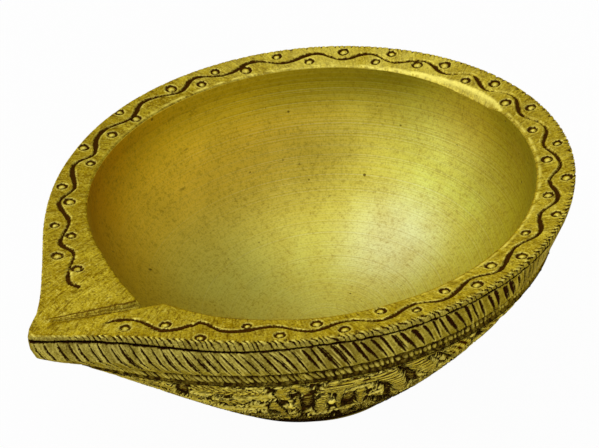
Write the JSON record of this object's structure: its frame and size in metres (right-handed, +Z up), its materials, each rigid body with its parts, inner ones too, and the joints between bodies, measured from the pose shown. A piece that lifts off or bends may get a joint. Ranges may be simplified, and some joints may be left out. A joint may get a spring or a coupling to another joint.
{
  "type": "spouted oil lamp",
  "caption": "Small cast brass oil lamp with a round bowl, a flat engraved rim drawn out to a pointed wick spout, carved sides and a small flat foot.",
  "frame": {"origin": "centre of the foot's flat underside", "axes": "+Z up through the bowl, -Y towards the tip of the spout, +X to the right of someone who looks along +Y"},
  "size_m": [0.115, 0.1338, 0.0487],
  "materials": {
    "engraved_brass": "filed and engraved cast brass, satin, with dark tarnish in the cuts",
    "carved_brass": "chased cast brass, satin on the high spots and dark in the recesses",
    "turned_brass": "brass turned on a lathe, satin, with fine rings and small pits"
  },
  "bodies": {
    "root": {"rim_plate": "engraved_brass", "slant_band": "engraved_brass", "bead_band": "carved_brass", "carved_shell": "carved_brass", "bowl_liner": "turned_brass", "foot_disc": "turned_brass"}
  },
  "joints": []
}
